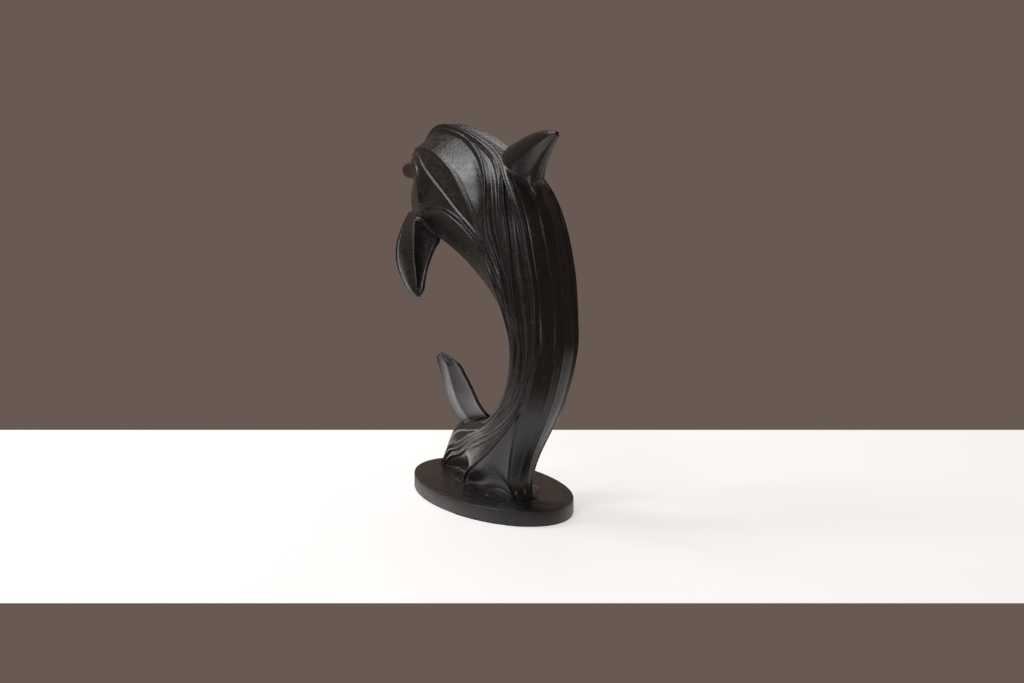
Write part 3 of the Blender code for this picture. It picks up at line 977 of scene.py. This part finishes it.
@dataclass
class SeamBeads:
    """Blobs that the nozzle left where it started each layer, in broken rows."""

    body: Body
    plinth: Plinth
    # Millimetres from one to the next, their radius, the least and most of it, and the share kept
    spacing: float = 0.55
    radius: float = 0.24
    sizes: tuple[float, float] = (0.55, 1.25)
    kept: float = 0.7
    roundness: int = 2
    seed: int = 11
    # How many points the row on the back has, and the one on the plinth
    steps: int = 80
    side_steps: int = 20
    # Station and degrees of the row on the back, and turn and height of the one on the plinth
    back: Path = ((10.3, 5), (9.9, 7), (9.4, 6.5), (8.9, 5.5), (8.3, 5), (7.9, 6), (7.3, 8))
    side: Path = ((151.0, 6.2), (152.5, 4.0), (154.5, 1.8), (156.0, 0.4))

    def rows(self) -> list[Points]:
        """Where the two rows run.

        Returns:
            The points of the row on the back and of the one on the plinth, in metres.
        """
        places = flowing(self.back, np.linspace(0, len(self.back) - 1, self.steps))
        outline = flowing(self.body.outline, places[:, 0])
        on_back = self.body.section(outline, places[:, 1, None])[:, 0]
        out = unit(on_back - self.body.centres(outline)[:, 0])
        on_back = on_back + out * self.body.ridges[0].height
        turn, height = flowing(self.side, np.linspace(0, len(self.side) - 1, self.side_steps)).T
        turn = np.radians(turn)
        long, wide = self.plinth.length / 2, self.plinth.width / 2
        on_side = np.stack([long * np.cos(turn), wide * np.sin(turn), height], -1)
        return [self.body.figure.place(on_back), on_side * MM]

    def tree(self) -> bpy.types.NodeTree:
        """Nodes that set beads along the edges of a mesh.

        Returns:
            The tree, with a named input for each value that can be set.
        """
        tree = bpy.data.node_groups.new("seam_beads", "GeometryNodeTree")
        for name, kind in (
            ("Geometry", "NodeSocketGeometry"),
            ("Spacing", "NodeSocketFloat"),
            ("Radius", "NodeSocketFloat"),
            ("Share kept", "NodeSocketFloat"),
            ("Seed", "NodeSocketInt"),
            ("Material", "NodeSocketMaterial"),
        ):
            tree.interface.new_socket(name, in_out="INPUT", socket_type=kind)
        tree.interface.new_socket("Geometry", in_out="OUTPUT", socket_type="NodeSocketGeometry")

        def add(kind: str, settings: dict[str, Any], **links: Any) -> bpy.types.Node:
            """Add a node.

            Args:
                kind: The node's type name.
                settings: Attributes of the node, set before its inputs.
                links: A value or a link for each input, by name.

            Returns:
                The node.
            """
            node = tree.nodes.new(kind)
            for name, value in settings.items():
                setattr(node, name, value)
            for name, source in links.items():
                target = next(s for s in node.inputs if s.name == name and s.enabled)
                if isinstance(source, bpy.types.NodeSocket):
                    tree.links.new(source, target)
                else:
                    target.default_value = source
            return node

        given = add("NodeGroupInput", {}).outputs
        curve = add("GeometryNodeMeshToCurve", {}, Mesh=given["Geometry"])
        length = {"Curve": curve.outputs[0], "Length": given["Spacing"]}
        places = add("GeometryNodeResampleCurve", {"mode": "LENGTH"}, **length)
        draw, seed = "FunctionNodeRandomValue", given["Seed"]
        chosen = add(draw, {"data_type": "BOOLEAN"}, Probability=given["Share kept"], Seed=seed)
        least, most = self.sizes
        sizes = add(draw, {"data_type": "FLOAT"}, Min=least, Max=most, Seed=seed)
        bead = add("GeometryNodeMeshIcoSphere", {}, Radius=given["Radius"], Subdivisions=self.roundness)
        beads = add(
            "GeometryNodeInstanceOnPoints",
            {},
            Points=places.outputs[0],
            Instance=bead.outputs[0],
            Selection=next(s for s in chosen.outputs if s.enabled),
            Scale=next(s for s in sizes.outputs if s.enabled),
        )
        solid = add("GeometryNodeRealizeInstances", {}, Geometry=beads.outputs[0])
        smooth = add("GeometryNodeSetShadeSmooth", {}, Geometry=solid.outputs[0])
        finish = {"Geometry": smooth.outputs[0], "Material": given["Material"]}
        dressed = add("GeometryNodeSetMaterial", {}, **finish)
        add("NodeGroupOutput", {}, Geometry=dressed.outputs[0])
        return tree

    def build(self, material: bpy.types.Material) -> bpy.types.Object:
        """The beads as one mesh, riding on the part's body.

        Args:
            material: The statue's finish.

        Returns:
            The finished object.
        """
        points, edges = [], []
        for row in self.rows():
            edges += [(len(points) + k, len(points) + k + 1) for k in range(len(row) - 1)]
            points += row.tolist()
        mesh = bpy.data.meshes.new("seam_rows")
        mesh.from_pydata(points, edges, [])
        rows = bpy.data.objects.new("seam_rows", mesh)
        bpy.context.scene.collection.objects.link(rows)
        modifier = rows.modifiers.new("beads", "NODES")
        modifier.node_group = self.tree()
        given = {
            "Spacing": self.spacing * MM,
            "Radius": self.radius * MM,
            "Share kept": self.kept,
            "Seed": self.seed,
            "Material": material,
        }
        for item in modifier.node_group.interface.items_tree:
            if item.in_out == "INPUT" and item.name in given:
                modifier[item.identifier] = given[item.name]
        graph = bpy.context.evaluated_depsgraph_get()
        solid = bpy.data.meshes.new_from_object(rows.evaluated_get(graph))
        beads = bpy.data.objects.new("seam_beads", solid)
        bpy.data.objects.remove(rows)
        bpy.context.scene.collection.objects.link(beads)
        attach(beads, "root")
        return beads


@dataclass
class Statue:
    """The whole statue: its shapes joined into one skin, with the joints softened."""

    figure: Figure = field(default_factory=Figure)
    finish: BlackPlastic = field(default_factory=BlackPlastic)
    # Softening of the joints: how far it reaches, how strong it is, its passes, and how far a
    # vertex goes in one towards its neighbours
    joint_reach: float = 2.2
    joint_strength: float = 0.2
    joint_passes: int = 40
    joint_pull: float = 0.6
    # A vertex nearer than this to one of a shape's own, in metres, is that one
    same_place: float = 1e-6
    # Wider joints: middle x, y, z of the drawing, how far round it they reach, and their width.
    # They fade out over the last two thirds of that reach
    wide_joints: tuple[tuple[float, ...], ...] = (
        (-44.0, 0.0, 126.0, 22.0, 7.0),
        (68.0, 0.0, 139.0, 12.0, 4.5),
        (42.0, 12.0, 120.0, 16.0, 3.5),
        (42.0, -12.0, 120.0, 16.0, 3.5),
    )
    wide_fade: float = 1.5
    # Front edge, crest and rear edge of each rib of the left blades, from root to tip
    flipper: Ribs = (
        ((56, 1, 125), (39, 3, 121), (31, -1, 115)),
        ((59, 9.5, 123), (39, 13, 122.8), (31, 5.5, 112.5)),
        ((56.8, 13.5, 119.8), (41, 16.5, 120.9), (30, 9, 111)),
        ((52.9, 18.5, 113.5), (39.3, 18.5, 116.9), (28.5, 12.3, 108.5)),
        ((48.3, 22.6, 107.6), (34.5, 20.8, 110.6), (27.5, 15, 104.7)),
        ((42.5, 25.3, 101), (29.2, 22.9, 102.6), (25.2, 18.3, 99.3)),
        ((35, 26.7, 94.9), (24, 24.6, 96.4), (21.8, 21, 95.2)),
        ((26.5, 27.1, 89.6), (19.7, 26, 91), (17.4, 24, 90.2)),
        ((19.5, 26.3, 86.6), (18.6, 26.1, 86.9), (17.6, 25.6, 87.0)),
    )
    fluke: Ribs = (
        ((8, 1, 24), (0, 2, 27), (-14, 0, 31)),
        ((10.6, 4.5, 29.4), (5, 5.8, 32), (-14.3, 4, 36.4)),
        ((16.6, 8.5, 31.9), (4.5, 9.8, 35.3), (-13.2, 7, 38.8)),
        ((18.8, 11.5, 36.8), (6, 13, 41.4), (-10.5, 9.5, 43)),
        ((18.4, 14, 43.4), (4.6, 15.5, 47.2), (-7, 11.5, 49)),
        ((16.9, 15.5, 49.3), (5, 17, 53.3), (-4.5, 13.5, 54)),
        ((14.6, 17.5, 55.4), (6, 18.3, 58.5), (-0.5, 15.8, 59.3)),
        ((15.2, 19, 61.0), (12.5, 19.1, 62.3), (11, 18.8, 62.9)),
    )

    def shapes(self) -> dict[str, Shell]:
        """Every shape that the statue is joined from.

        Returns:
            The skins by name, the body's first.
        """
        flipper = Blade(self.figure, self.flipper)
        fluke = Blade(self.figure, self.fluke)
        return {
            "body": Body(self.figure).shell(),
            "plinth": Plinth(self.figure).shell(),
            "dorsal_fin": Dorsal(self.figure).shell(),
            "beak": Beak(self.figure).shell(),
            "left_flipper": flipper.shell(1),
            "right_flipper": flipper.shell(-1),
            "left_fluke": fluke.shell(1),
            "right_fluke": fluke.shell(-1),
        }

    def joined(self) -> bpy.types.Object:
        """The shapes as one closed skin, softened where they meet.

        Returns:
            The object, linked to the scene.
        """
        objects = [shell.object(name) for name, shell in self.shapes().items()]
        body, tools = objects[0], objects[1:]
        for tool in tools:
            join = body.modifiers.new("join_" + tool.name, "BOOLEAN")
            join.operation = "UNION"
            join.solver = "MANIFOLD"
            join.object = tool
        graph = bpy.context.evaluated_depsgraph_get()
        mesh = bpy.data.meshes.new_from_object(body.evaluated_get(graph))
        old = KDTree(sum(len(o.data.vertices) for o in objects))
        count = 0
        for obj in objects:
            for vertex in obj.data.vertices:
                old.insert(vertex.co, count)
                count += 1
        old.balance()
        self.soften(mesh, old)
        for obj in objects:
            bpy.data.objects.remove(obj)
        statue = bpy.data.objects.new("printed_dolphin", mesh)
        bpy.context.scene.collection.objects.link(statue)
        return statue

    def soften(self, mesh: bpy.types.Mesh, old: KDTree) -> None:
        """Smooth the skin near the lines where two shapes were joined.

        Args:
            mesh: The joined skin, which is changed.
            old: The vertices that the shapes had before they were joined.
        """
        points = np.empty(len(mesh.vertices) * 3)
        mesh.vertices.foreach_get("co", points)
        points = points.reshape(-1, 3)
        new = [i for i, p in enumerate(points) if old.find(p)[2] > self.same_place]
        if not new:
            return
        seam = KDTree(len(new))
        for i in new:
            seam.insert(points[i], i)
        seam.balance()
        reach = np.full(len(points), self.joint_reach * MM)
        strength = np.full(len(points), self.joint_strength)
        for x, y, z, around, width in self.wide_joints:
            middle = self.figure.place(np.array([x, y, z]))
            away = np.linalg.norm(points - middle, axis=1) / (around * MM)
            near = np.clip(self.wide_fade * (1 - away), 0, 1)
            reach = np.maximum(reach, near * width * MM)
            strength = np.maximum(strength, near)
        distance = np.array([seam.find(p)[2] for p in points])
        weight = (np.clip(1 - distance / reach, 0, 1) * strength)[:, None]
        edges = np.empty(len(mesh.edges) * 2, int)
        mesh.edges.foreach_get("vertices", edges)
        a, b = edges.reshape(-1, 2).T
        links = np.bincount(np.concatenate([a, b]), minlength=len(points))[:, None]
        for _ in range(self.joint_passes):
            total = np.zeros_like(points)
            np.add.at(total, a, points[b])
            np.add.at(total, b, points[a])
            points += weight * self.joint_pull * (total / np.maximum(links, 1) - points)
        mesh.vertices.foreach_set("co", points.ravel())
        mesh.update()

    def build(self) -> list[bpy.types.Object]:
        """The finished statue, riding on the part's body in place of its solid, and its beads.

        Returns:
            The statue and the beads.
        """
        statue = self.joined()
        statue.data.polygons.foreach_set("use_smooth", [True] * len(statue.data.polygons))
        statue.data.materials.clear()
        statue.data.materials.append(self.finish.material("satin_black_plastic"))
        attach(statue, "root")
        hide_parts("dolphin_statue")
        beads = SeamBeads(Body(self.figure), Plinth(self.figure))
        return [statue, beads.build(statue.data.materials[0])]


class Tone(Enum):
    """Colours of the light and of what surrounds the statue."""

    COOL = (0.93, 0.97, 1.0)
    WARM = (1.0, 0.93, 0.88)
    WALL = (0.138, 0.1, 0.084)


@dataclass(frozen=True)
class Lamp:
    """A soft square light that faces the statue: its centre and side in metres, and its power."""

    name: str
    place: tuple[float, float, float]
    size: float
    watts: float
    tone: Tone
    aim: tuple[float, float, float] = (0.0, 0.0, 0.09)

    def build(self) -> None:
        """Put the light in the scene."""
        light = bpy.data.lights.new(self.name, "AREA")
        light.size = self.size
        light.energy = self.watts
        light.color = self.tone.value
        lamp = bpy.data.objects.new(self.name, light)
        lamp.location = self.place
        turn = (Vector(self.aim) - Vector(self.place)).to_track_quat("-Z", "Y")
        lamp.rotation_euler = turn.to_euler()
        bpy.context.scene.collection.objects.link(lamp)


@dataclass
class Studio:
    """Pale floor, soft lights and the camera."""

    # Metres from the middle to the floor's near and far edges, as the camera looks, and to its sides
    floor_near: float = -0.21
    floor_far: float = 0.203
    floor_half: float = 0.42
    floor_colour: tuple[float, float, float, float] = (0.86, 0.85, 0.84, 1.0)
    floor_roughness: float = 0.6
    floor_light: tuple[float, float, float, float] = (1.0, 0.99, 0.98, 1.0)
    floor_glow: float = 0.57
    lamps: tuple[Lamp, ...] = (
        Lamp("key_box", (0.728, 0.339, 1.0), 0.45, 3.0, Tone.COOL),
        Lamp("left_box", (0.42, 0.79, 0.87), 0.4, 2.4, Tone.COOL),
        Lamp("front_left_box", (-0.745, 0.582, 0.83), 0.4, 2.2, Tone.COOL),
        Lamp("low_left_box", (0.2, 1.12, 0.36), 0.3, 0.7, Tone.COOL),
        Lamp("back_box", (0.836, -0.147, 0.94), 0.4, 1.6, Tone.WARM),
    )
    # The camera's place in millimetres, its level heading, how far it looks down, and its lens
    camera_place: tuple[float, float, float] = (-923.3, 257.1, 168.0)
    camera_heading: tuple[float, float] = (0.9608, -0.2773)
    camera_down: float = 5.96
    lens: float = 78.4
    sensor: float = 36.0
    clip_start: float = 0.05

    def floor(self) -> None:
        """The pale floor under the plinth."""
        ahead = Vector((*self.camera_heading, 0.0))
        aside = Vector((-self.camera_heading[1], self.camera_heading[0], 0.0)) * self.floor_half
        near, far = ahead * self.floor_near, ahead * self.floor_far
        mesh = bpy.data.meshes.new("floor")
        mesh.from_pydata([near - aside, far - aside, far + aside, near + aside], [], [(0, 1, 2, 3)])
        floor = bpy.data.objects.new("floor", mesh)
        material = bpy.data.materials.new("pale_floor")
        material.use_nodes = True
        inputs = material.node_tree.nodes["Principled BSDF"].inputs
        inputs["Base Color"].default_value = self.floor_colour
        inputs["Roughness"].default_value = self.floor_roughness
        inputs["Emission Color"].default_value = self.floor_light
        inputs["Emission Strength"].default_value = self.floor_glow
        mesh.materials.append(material)
        bpy.context.scene.collection.objects.link(floor)

    def camera(self) -> None:
        """The camera, where the photograph was taken from."""
        data = bpy.data.cameras.new("camera")
        data.lens = self.lens
        data.sensor_width = self.sensor
        data.clip_start = self.clip_start
        camera = bpy.data.objects.new("camera", data)
        camera.location = [v * MM for v in self.camera_place]
        down = math.radians(self.camera_down)
        level = math.cos(down)
        ahead, aside = self.camera_heading
        heading = Vector((ahead * level, aside * level, -math.sin(down)))
        camera.rotation_euler = heading.to_track_quat("-Z", "Y").to_euler()
        bpy.context.scene.collection.objects.link(camera)
        bpy.context.scene.camera = camera

    def build(self) -> None:
        """Floor, lights, surround and camera."""
        self.floor()
        for lamp in self.lamps:
            lamp.build()
        world = bpy.data.worlds.new("surround")
        world.use_nodes = True
        surround = world.node_tree.nodes["Background"].inputs["Color"]
        surround.default_value = (*Tone.WALL.value, 1.0)
        bpy.context.scene.world = world
        self.camera()


def triangles(piece: bpy.types.Object) -> int:
    """How many triangles a piece has."""
    return sum(len(face.vertices) - 2 for face in piece.data.polygons)


def main() -> None:
    """Build the statue and the studio."""
    logging.basicConfig(level=logging.INFO, format="%(name)s: %(message)s")
    for piece in Statue().build():
        LOG.info("%s: %d triangles", piece.name, triangles(piece))
    Studio().build()
    bpy.context.scene.view_settings.view_transform = "Standard"


if __name__ == "__main__":
    main()
